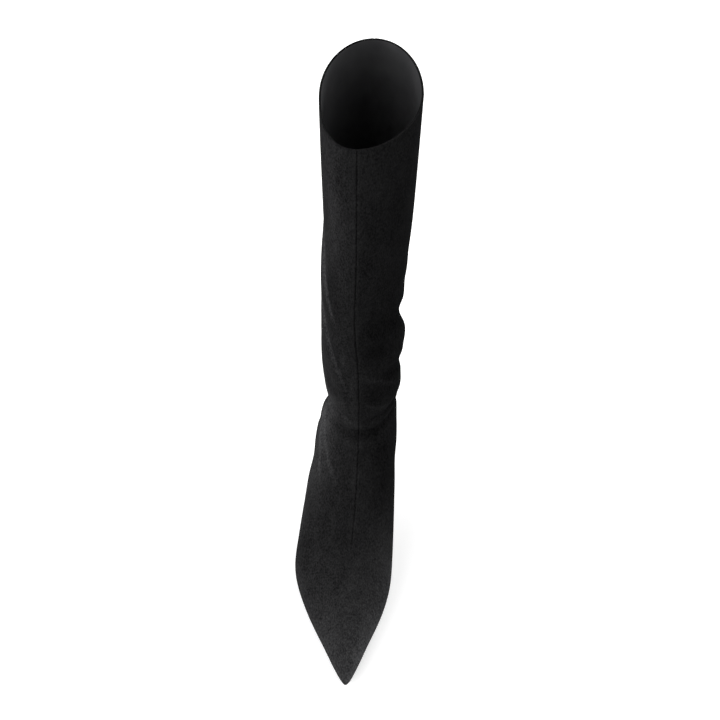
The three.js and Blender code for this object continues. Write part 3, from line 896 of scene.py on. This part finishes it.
@dataclass(frozen=True)
class GrainedFinish:
    """Smooth leather or rubber with a fine grain.

    Colour and worn colour mix by the grain's mask, and the roughness swings by its spread with it.
    """

    name: str
    colour: Triple
    worn: Triple
    roughness: float
    scale: float = 900.0
    spread: float = 0.05
    grain_height: float = 0.0001
    gloss: float = 0.25

    def material(self, grain: bpy.types.NodeTree) -> bpy.types.Material:
        """Makes the material.

        Args:
            grain: The fine grain group.

        Returns:
            The material.
        """
        material, writer, shader = new_material(self.name)
        place = writer.node("ShaderNodeTexCoord").outputs["Object"]
        fine = writer.node("ShaderNodeGroup", node_tree=grain)
        writer.feed_all(fine, {"Vector": place, "Scale": self.scale})
        mask = fine.outputs["Mask"]
        smooth, rough = self.roughness - self.spread, self.roughness + self.spread
        writer.feed_all(
            shader,
            {
                "Base Color": writer.mix_colour(mask, (*self.colour, 1), (*self.worn, 1)),
                "Roughness": writer.remap(mask, 0, 1, smooth, rough),
                "Normal": writer.bump(fine.outputs["Height"], 0.6, self.grain_height),
                "Specular IOR Level": self.gloss,
            },
        )
        return material


class Finish(Enum):
    """Finishes of the boot. The lining is the upper's inner face, and no piece of its own."""

    SUEDE = "suede"
    HEEL_COVER = "heel_cover"
    SOLE = "sole"
    LIFT = "lift"
    SOCK = "sock"
    LINING = "lining"


GRAINED = {
    Finish.SOLE: GrainedFinish("sole rubber", (0.012, 0.012, 0.012), (0.02, 0.02, 0.02), 0.55),
    Finish.LIFT: GrainedFinish("lift rubber", (0.01, 0.01, 0.01), (0.016, 0.016, 0.016), 0.65),
    Finish.SOCK: GrainedFinish("sock leather", (0.028, 0.024, 0.021), (0.04, 0.035, 0.031), 0.6),
    Finish.LINING: GrainedFinish("lining", (0.03, 0.03, 0.032), (0.042, 0.042, 0.044), 0.8, 1400.0),
}


@dataclass
class Finishes:
    """Makes each material once."""

    made: dict[Finish, bpy.types.Material] = field(default_factory=dict)

    def build(self) -> None:
        """Makes the node groups and every material."""
        nap = nap_group()
        grain = grain_group()
        self.made[Finish.SUEDE] = SuedeFinish("black suede").material(nap)
        self.made[Finish.HEEL_COVER] = SuedeFinish("heel cover suede").material(nap)
        for finish, grained in GRAINED.items():
            self.made[finish] = grained.material(grain)

    def __getitem__(self, finish: Finish) -> bpy.types.Material:
        """The material of a finish."""
        return self.made[finish]


@dataclass
class Upper:
    """Foot and shaft in one suede skin, with its seams, folds, lining and turned collar."""

    last: Last
    row_pitch: float = 0.0013
    columns: int = 78
    seam_lines: tuple[float, ...] = (0.0004, 0.0008, 0.0013, 0.0019, 0.0027, 0.004)
    seam_depth: float = 0.0005
    seam_width: float = 0.0005
    seam_shoulder: float = 0.00018
    shoulder_place: float = 0.0017
    shoulder_width: float = 0.0009
    seam_end: float = 0.62
    seam_fade: float = 0.05
    back_seam: float = 0.7
    edge_hold: float = 0.06
    crowding: float = 0.4
    # The next four set the painted shade in fold troughs and in the seam, and the painted highlight on
    # ridges, which is partly rubbed nap, and beside the seam.
    fold_rub_and_painted_light: float = 0.2
    fold_rub_and_painted_light_depth: float = 0.006
    seam_painted_shade: float = 0.32
    shoulder_painted_highlight: float = 0.1
    # The next ones set painted light and shade of the nap: light over the toe, the tip and the foot's inner
    # side, and shade on the shaft's inner side.
    darkest_painted_shade: float = -0.9
    toe_painted_light: float = 1.3
    toe_span: tuple[float, float] = (0.5, 1.0)
    tip_painted_light: float = 1.6
    tip_span: tuple[float, float] = (0.8, 1.0)
    foot_painted_light: float = 0.55
    inner_painted_shade: float = 0.55
    inner_span: tuple[float, float] = (-0.1, 0.4)
    outer_span: tuple[float, float] = (0.42, 0.72)
    foot_span: tuple[float, float] = (0.4, 0.6)
    lining_step: int = 4

    def build(self, finishes: Finishes) -> bpy.types.Object:
        """Builds the skin, its lining and its rims as one closed piece.

        Args:
            finishes: The boot's materials.

        Returns:
            The piece.
        """
        last = self.last
        rows = last.rows(self.row_pitch)
        closed = rows["edge"] == 0
        closed[0] = False
        sides = self._sides(rows)
        base = last.section_points(rows, sides)
        normals = grid_normals(base, closed)
        main = last.fold_depth(MAIN_FOLDS, sides, base[..., 2])
        fine = last.fold_depth(FINE_FOLDS, sides, base[..., 2])
        seam = self._seam(rows, sides, base)
        held = self._held_edge(sides, closed)
        outer = base - normals * ((main + fine + seam) * held)[..., None]
        outer[0] = base[0, 0]

        parts = MeshParts()
        skin = parts.add(outer)
        skin[0] = skin[0, 0]
        skin[closed, -1] = skin[closed, 0]
        step = self.lining_step
        picked = np.minimum(np.ceil(np.arange(len(base)) / step).astype(int) * step, len(base) - 1)
        lining = self._lining(rows, base, normals, main, held)
        inside = parts.add(lining)
        inside[0] = inside[0, 0]
        inside[closed, -1] = inside[closed, 0]
        across = np.arange(base.shape[1])
        across = np.where(across == base.shape[1] - 1, across, across // 2 * 2)
        inside = np.concatenate([inside[picked[:-1]][:, across], inside[-1:]])
        parts.cover(skin)
        parts.cover(inside, 1, True)
        open_rows = int(np.argmax(closed)) + 1
        for column, flip in ((0, True), (-1, False)):
            rim = np.stack([skin[:open_rows, column], inside[:open_rows, column]], -1)
            parts.cover(rim, 0, flip)
        self._collar(parts, skin[-1], inside[-1], outer[-1], lining[-1])
        item = parts.piece("suede_upper", [finishes[Finish.SUEDE], finishes[Finish.LINING]])
        # Painted light and shade of the nap: lighter over the toe, darker on the shaft's inner side.
        painted_light_and_shade = self._painted_light_and_shade(rows, sides, base[..., 2])
        # Stores the rub and painted light and shade of creases and seams, and the nap's painted light and
        # shade.
        for name, field_values in (("rub_and_painted_light", self._rub_and_painted_light(main + fine, seam)), ("painted_light_and_shade", painted_light_and_shade)):
            values = np.zeros(parts.count)
            values[: field_values.size] = field_values.ravel()
            point_attribute(item, name, values)
        return item

    def _sides(self, rows: Columns) -> np.ndarray:
        """Sides of the columns at every row, narrow along both seams and closer in front than behind."""
        coarse = np.linspace(0, 1, 25)[None, :].repeat(len(rows["back"]), 0)
        path = self.last.section_points(rows, coarse)
        girth = np.linalg.norm(np.diff(path, axis=1), axis=-1).sum(1)[:, None]
        lines = np.array(self.seam_lines)[None, :]
        number = np.arange(1, lines.shape[1] + 1)[None, :]
        near = np.minimum(lines / np.maximum(girth, 1e-6), number * 0.01)
        far = 1 - near[:, ::-1]
        share = np.linspace(0, 1, self.columns)[None, 1:-1]
        share = share * (1 - self.crowding + self.crowding * share)
        between = near[:, -1:] + (far[:, :1] - near[:, -1:]) * share
        half = np.concatenate([near, between, far, np.ones((len(near), 1))], 1)
        return np.concatenate([-half[:, ::-1], np.zeros((len(near), 1)), half], 1)

    def _seam(self, rows: Columns, sides: np.ndarray, base: np.ndarray) -> np.ndarray:
        """Depth of the front and back seams: a narrow bell with a low shoulder on each side."""
        middle = sides.shape[1] // 2
        gap = np.linalg.norm(np.diff(base, axis=1), axis=-1)
        place = np.concatenate([np.zeros((len(gap), 1)), np.cumsum(gap, 1)], 1)
        front = np.abs(place - place[:, middle : middle + 1])
        back = np.minimum(place, place[:, -1:] - place)
        share = rows["front"][:, None] / self.last.length
        fade = smoothstep(self.seam_end - share, 0, self.seam_fade)
        shut = (rows["edge"] == 0)[:, None]
        return self._groove(front) * fade + self.back_seam * self._groove(back) * shut

    def _groove(self, away: np.ndarray) -> np.ndarray:
        """Depth at a way from the seam's line."""
        bell = self.seam_depth * np.exp(-((away / self.seam_width) ** 2))
        beside = (away - self.shoulder_place) / self.shoulder_width
        return bell - self.seam_shoulder * np.exp(-(beside**2))

    def _held_edge(self, sides: np.ndarray, closed: np.ndarray) -> np.ndarray:
        """Share of the folds that is kept: none on the feather edge, all of them a little above it."""
        away = 1 - np.abs(sides)
        kept = smoothstep(away, 0, self.edge_hold)
        return np.where(closed[:, None], 1.0, kept)

    def _rub_and_painted_light(self, folds: np.ndarray, seam: np.ndarray) -> np.ndarray:
        """Rub and painted light of creases and seams: lighter on ridges, partly rubbed nap and partly a
        painted highlight, a painted highlight beside a seam, and painted shade in troughs and in the seam.
        """
        # Painted shade in the seam's groove, and a painted highlight on its shoulders.
        painted_seam_shade = np.clip(seam / self.seam_depth, 0, 1) * self.seam_painted_shade
        shoulder = np.clip(-seam / self.seam_shoulder, 0, 1) * self.shoulder_painted_highlight
        rub_and_painted_crease_light = np.clip(-folds / self.fold_rub_and_painted_light_depth, -self.fold_rub_and_painted_light, self.fold_rub_and_painted_light)
        return rub_and_painted_crease_light - painted_seam_shade + shoulder

    def _painted_light_and_shade(self, rows: Columns, sides: np.ndarray, height: np.ndarray) -> np.ndarray:
        """How much painted light and shade the nap gets.

        Over the toe painted light grows with a soft step along the foot. Round the inner side there is
        painted shade on the shaft and painted light on the foot and more so at the tip, with soft steps
        between them, and this fades out again towards the back. Each line adds the bell of a fold as a
        painted highlight, and each patch a bell in turn and in level, of painted light, or of painted shade
        where its lift is below 0.
        """
        share = rows["front"][:, None] / self.last.length
        foot = smoothstep(share, *self.foot_span)
        inner = smoothstep(sides, *self.inner_span) * (1 - smoothstep(sides, *self.outer_span))
        painted_light_and_shade = self.toe_painted_light * smoothstep(share, *self.toe_span)
        light_and_shade_amount = self.foot_painted_light * foot - self.inner_painted_shade * (1 - foot)
        painted_light_and_shade = painted_light_and_shade + inner * (light_and_shade_amount + self.tip_painted_light * smoothstep(share, *self.tip_span))
        painted_light_and_shade = painted_light_and_shade - self.last.fold_depth(PAINTED_HIGHLIGHT_LINES, sides, height) / self.last.ankle_width
        level = (height - self.last.bend_level) / self.last.shaft_rise
        for patch in PAINTED_LIGHT_AND_SHADE_PATCHES:
            aside = ((sides - patch.turn) / patch.across) ** 2
            above = ((level - patch.level) / patch.along) ** 2
            painted_light_and_shade = painted_light_and_shade + patch.lift * np.exp(-(aside + above))
        return np.maximum(painted_light_and_shade, self.darkest_painted_shade)

    def _lining(
        self, rows: Columns, base: np.ndarray, normals: np.ndarray, main: np.ndarray, held: np.ndarray
    ) -> np.ndarray:
        """Inner face: the base skin sunk by the wall and the main folds, with the feather edge moved in."""
        depth = self.last.wall + main * held
        lining = base - normals * depth[..., None]
        outer, inner = self.last.feather_outline(rows, -self.last.wall)
        for column, edge in ((0, outer), (-1, inner)):
            count = len(edge)
            lining[:count, column, 0] = edge[:, 0]
            lining[:count, column, 1] = self.last.heel_set - edge[:, 1]
            lining[:count, column, 2] = self.last.feather_level(edge[:, 1] / self.last.length)
        lining[0] = lining[0, 0]
        return lining

    def _collar(
        self, parts: MeshParts, skin: np.ndarray, inside: np.ndarray, outer: np.ndarray, lining: np.ndarray
    ) -> None:
        """Turned edge at the collar: a half round from the skin to the lining."""
        turn = np.linspace(0, math.pi, 8)[1:-1][:, None, None]
        middle = 0.5 * (outer + lining)
        reach = 0.5 * (outer - lining)
        bulge = np.linalg.norm(reach, axis=-1, keepdims=True) * np.array([0, 0, 1])
        ring = parts.add(middle + reach * np.cos(turn) + bulge * np.sin(turn))
        ring[:, -1] = ring[:, 0]
        parts.cover(np.concatenate([skin[None], ring, inside[None]]))


@dataclass
class Outsole:
    """Thin sole from the tip to the heel seat, tucked in under the upper, with a rounded edge."""

    last: Last
    inset: float = 0.0004
    edge_round: float = 0.0009
    columns: int = 36
    row_pitch: float = 0.0016

    def build(self, finishes: Finishes) -> bpy.types.Object:
        """Builds the sole as a closed plate.

        Args:
            finishes: The boot's materials.

        Returns:
            The piece.
        """
        rows = self.last.rows(self.row_pitch)
        outer, inner = self.last.feather_outline(rows, -self.inset)
        top = self.last.clearance
        parts = plate(
            self.last, outer, inner, -top, -top - self.last.sole_thickness, self.edge_round, self.columns
        )
        return parts.piece("outsole_rubber", [finishes[Finish.SOLE]])


@dataclass
class Insole:
    """Sock and board in the foot, with a rounded top edge."""

    last: Last
    toe_room: float = 0.006
    edge_round: float = 0.0009
    columns: int = 30
    row_pitch: float = 0.002

    def build(self, finishes: Finishes) -> bpy.types.Object:
        """Builds the insole as a closed plate inside the wall.

        Args:
            finishes: The boot's materials.

        Returns:
            The piece.
        """
        rows = self.last.rows(self.row_pitch)
        outer, inner = self.last.feather_outline(rows, -(self.last.wall + self.last.clearance))
        kept = np.maximum(outer[:, 1], inner[:, 1]) < self.last.length - self.toe_room
        parts = plate(
            self.last,
            outer[kept],
            inner[kept],
            self.last.insole_thickness,
            0.0,
            self.edge_round,
            self.columns,
        )
        return parts.piece("sock_lining", [finishes[Finish.SOCK]])


def plate(
    last: Last, outer: np.ndarray, inner: np.ndarray, top: float, bottom: float, radius: float, columns: int
) -> MeshParts:
    """A plate on a feather outline whose top and bottom edges are rounded.

    Each face lies at its height over the feather level. Within the radius of the outline it drops by
    the radius less the root of the radius squared less the rest of the way squared.

    Args:
        last: The last, for the feather level.
        outer: Outline of the outer side, rows by 2.
        inner: Outline of the inner side, rows by 2.
        top: Height of the top face over the feather level.
        bottom: Height of the bottom face over the feather level.
        radius: Radius of the edges.
        columns: Columns across.

    Returns:
        The plate's parts.
    """
    share = 0.5 - 0.5 * np.cos(np.linspace(0, math.pi, columns + 1))
    flat = outer[:, None] + (inner - outer)[:, None] * share[None, :, None]
    loop = np.concatenate([outer, inner[::-1]])
    away = distance_to_loop(flat.reshape(-1, 2), loop).reshape(flat.shape[:2])
    away[:, [0, -1]] = 0
    away[[0, -1]] = 0
    rest = np.clip(radius - away, 0, None)
    drop = radius - np.sqrt(np.clip(radius**2 - rest**2, 0, None))
    level = last.feather_level(flat[..., 1] / last.length)
    parts = MeshParts()
    x = flat[..., 0]
    y = last.heel_set - flat[..., 1]
    upper = parts.add(np.stack([x, y, level + top - drop], -1))
    lower = parts.add(np.stack([x, y, level + bottom + drop], -1))
    parts.cover(upper)
    parts.cover(lower, 0, True)
    for first, second, flip in (
        (upper[:, 0], lower[:, 0], True),
        (upper[:, -1], lower[:, -1], False),
        (upper[0], lower[0], False),
        (upper[-1], lower[-1], True),
    ):
        parts.cover(np.stack([first, second], -1), 0, flip)
    return parts


def distance_to_loop(points: np.ndarray, loop: np.ndarray) -> np.ndarray:
    """Way from each point to the nearest side of a closed loop, by the foot of its perpendicular.

    Args:
        points: Points, n by 2.
        loop: Corners of the loop, m by 2.

    Returns:
        Distances, n.
    """
    step = np.roll(loop, -1, 0) - loop
    size = np.maximum((step**2).sum(1), 1e-18)
    gap = points[:, None] - loop[None]
    along = np.clip((gap * step).sum(-1) / size, 0, 1)
    return np.linalg.norm(gap - along[..., None] * step, axis=-1).min(1)


@dataclass
class HeelBlock:
    """Covered heel block that flares from the top lift to the sole, and its top lift."""

    last: Last
    lift_width: float = 0.035
    lift_depth: float = 0.032
    top_width: float = 0.057
    top_depth: float = 0.044
    back_inset: float = 0.008
    top_inset: float = 0.004
    flare: float = 2.2
    breast_roundness: float = 0.35
    back_roundness: float = 0.9
    lift_thickness: float = 0.006
    edge_round: float = 0.0006
    edge_steps: tuple[float, ...] = (0.25, 0.6, 1.0)
    cap_scales: tuple[float, ...] = (0.66, 0.33)
    spokes: int = 144
    rings: int = 60

    def outline(self, climb: np.ndarray, turn: np.ndarray) -> tuple[np.ndarray, np.ndarray]:
        """Outline of the block at a climb: a squared oval, squarer at the breast than at the back.

        Args:
            climb: 0 at the top lift and 1 at the sole.
            turn: Turn round the block, with 0 at the breast.

        Returns:
            Sideways and forward places.
        """
        ease = climb**self.flare
        half = 0.5 * (self.lift_width + (self.top_width - self.lift_width) * ease)
        back = self.back_inset + (self.top_inset - self.back_inset) * ease
        deep = self.lift_depth + (self.top_depth - self.lift_depth) * ease
        power = np.where(np.cos(turn) > 0, self.breast_roundness, self.back_roundness)
        across = np.sign(np.sin(turn)) * np.abs(np.sin(turn)) ** power
        along = np.sign(np.cos(turn)) * np.abs(np.cos(turn)) ** power
        return half * across, back + 0.5 * deep * (1 + along)

    def _block(self, climbs: np.ndarray, level: Level) -> MeshParts:
        """A closed block on the outline, with rounded top and bottom edges.

        Args:
            climbs: Climb of each ring.
            level: Height of each corner, from the ring's place in 0 to 1 and the forward place.

        Returns:
            The block's parts.
        """
        turn = np.linspace(0, 2 * math.pi, self.spokes + 1)[None, :]
        x, forward = self.outline(climbs[:, None], turn)
        share = np.linspace(0, 1, len(climbs))[:, None]
        body = np.stack([x, self.last.heel_set - forward, level(share, forward)], -1)
        body[0, :, 2] += self.edge_round
        body[-1, :, 2] -= self.edge_round
        centre = self.last.heel_set - forward.mean(1)
        low = self._cap(body[0], centre[0], -1)
        high = self._cap(body[-1], centre[-1], 1)
        parts = MeshParts()
        grid = parts.add(np.concatenate([low[::-1], body, high]))
        grid[:, -1] = grid[:, 0]
        feet = parts.add(np.array([low[-1].mean(0), high[-1].mean(0)]))
        start = np.full((1, grid.shape[1]), feet[0])
        end = np.full((1, grid.shape[1]), feet[1])
        parts.cover(np.concatenate([start, grid, end]), 0, True)
        return parts

    def _cap(self, ring: np.ndarray, centre: float, sign: float) -> np.ndarray:
        """Rings over a quarter round edge, then smaller ones on the flat of the cap.

        Args:
            ring: The outermost ring.
            centre: Place of the cap's middle along Y.
            sign: 1 for a cap that faces up and -1 for one that faces down.

        Returns:
            Rings by corners by 3.
        """
        middle = (0, centre)
        reach = np.hypot(ring[:, 0], ring[:, 1] - centre)
        rows = []
        for step in self.edge_steps:
            sink = self.edge_round * (1 - np.sqrt(1 - (1 - step) ** 2))
            scale = (1 - step * self.edge_round / reach)[:, None]
            moved = ring.copy()
            moved[:, :2] = (ring[:, :2] - middle) * scale + middle
            moved[:, 2] = ring[:, 2] + sign * (self.edge_round - sink)
            rows.append(moved)
        flat = rows[-1]
        for scale in self.cap_scales:
            moved = flat.copy()
            moved[:, :2] = (flat[:, :2] - middle) * scale + middle
            rows.append(moved)
        return np.array(rows)

    def build(self, finishes: Finishes) -> list[bpy.types.Object]:
        """Builds the block and its top lift.

        Args:
            finishes: The boot's materials.

        Returns:
            The two pieces.
        """
        last = self.last
        foot = self.lift_thickness + last.clearance

        def block_level(share: np.ndarray, forward: np.ndarray) -> np.ndarray:
            """Height between the top lift and the sole's underside."""
            gap = 2 * last.clearance + last.sole_thickness
            roof = last.feather_level(forward / last.length) - gap
            return foot + (roof - foot) * share

        block = self._block(np.linspace(0, 1, self.rings), block_level)
        lift = self._block(np.zeros(4), lambda share, forward: self.lift_thickness * share + 0 * forward)
        return [
            block.piece("covered_heel", [finishes[Finish.HEEL_COVER]]),
            lift.piece("top_lift_rubber", [finishes[Finish.LIFT]]),
        ]


@dataclass
class Studio:
    """Pale floor, soft lights and the camera."""

    camera_place: Triple = (0.031, -1.2174, 1.3033)
    aim: Triple = (0.002, -0.062, 0.209)
    lens: float = 96.0
    sensor: float = 36.0
    surround: float = 0.05
    backdrop: float = 1.0
    floor_glow: float = 0.4
    floor_reach: float = 6.0
    glow_span: tuple[float, float] = (0.4, 2.4)

    def build(self) -> None:
        """Builds floor, lights, world and camera."""
        self._floor()
        self._lights()
        self._world()
        self._camera()

    def _floor(self) -> None:
        """A wide plain floor that isn't part of the boot.

        For the camera it glows, more so away from the boot, and reaches the surround's white. It lights
        nothing by that.
        """
        mesh = bpy.data.meshes.new("floor")
        reach = self.floor_reach
        corners = [(-reach, -reach, 0), (reach, -reach, 0), (reach, reach, 0), (-reach, reach, 0)]
        mesh.from_pydata(corners, [], [(0, 1, 2, 3)])
        material, writer, shader = new_material("pale floor")
        seen = writer.node("ShaderNodeLightPath").outputs["Is Camera Ray"]
        place = writer.node("ShaderNodeTexCoord").outputs["Object"]
        far = writer.node("ShaderNodeVectorMath", operation="LENGTH")
        writer.feed(far.inputs[0], place)
        glow = writer.remap(far.outputs["Value"], *self.glow_span, self.floor_glow, self.backdrop)
        writer.feed_all(
            shader,
            {
                "Base Color": (0.9, 0.9, 0.9, 1),
                "Roughness": 0.9,
                "Specular IOR Level": 0.1,
                "Emission Color": (1, 1, 1, 1),
                "Emission Strength": writer.maths("MULTIPLY", seen, glow),
            },
        )
        mesh.materials.append(material)
        linked("floor", mesh)

    def _lights(self) -> None:
        """Makes the soft lights, all aimed at the boot's middle.

        Key, low and front come from the outer side, the fill from the inner side, rim and back from
        behind, and the inner light from low behind the inner side.
        """
        for light in LIGHTS:
            data = bpy.data.lights.new(light.name, "AREA")
            data.size = light.size
            data.energy = light.power
            aim_at(linked(light.name, data), light.place, LIGHT_AIM)

    def _world(self) -> None:
        """A surround that the camera sees white, and that lights the boot weakly."""
        world = bpy.data.worlds.new("studio")
        world.use_nodes = True
        writer = NodeWriter(world.node_tree)
        backdrop = world.node_tree.nodes["Background"]
        backdrop.inputs["Color"].default_value = (1, 1, 1, 1)
        seen = writer.node("ShaderNodeLightPath").outputs["Is Camera Ray"]
        writer.feed(backdrop.inputs["Strength"], writer.remap(seen, 0, 1, self.surround, self.backdrop))
        bpy.context.scene.world = world
        bpy.context.scene.view_settings.view_transform = "Standard"

    def _camera(self) -> None:
        """The camera at the photo's angle, with the whole boot in its picture."""
        data = bpy.data.cameras.new("camera")
        data.lens = self.lens
        data.sensor_width = self.sensor
        data.clip_end = 20
        camera = linked("camera", data)
        aim_at(camera, self.camera_place, self.aim)
        bpy.context.scene.camera = camera


def dress(item: bpy.types.Object, node: str) -> None:
    """Lets a piece stand for a CAD node, and reports it."""
    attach(item, "root")
    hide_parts(node)
    LOG.info("%s: %d faces, for %s", item.name, len(item.data.polygons), node)


def main() -> None:
    """Builds every sub-assembly in order."""
    logging.basicConfig(level=logging.INFO, format="%(message)s")
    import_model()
    last = Last()
    finishes = Finishes()
    finishes.build()
    dress(Upper(last).build(finishes), "upper")
    dress(Outsole(last).build(finishes), "outsole")
    dress(Insole(last).build(finishes), "insole")
    block, lift = HeelBlock(last).build(finishes)
    dress(block, "heel")
    dress(lift, "top_lift")
    Studio().build()
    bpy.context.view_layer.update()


if __name__ == "__main__":
    main()
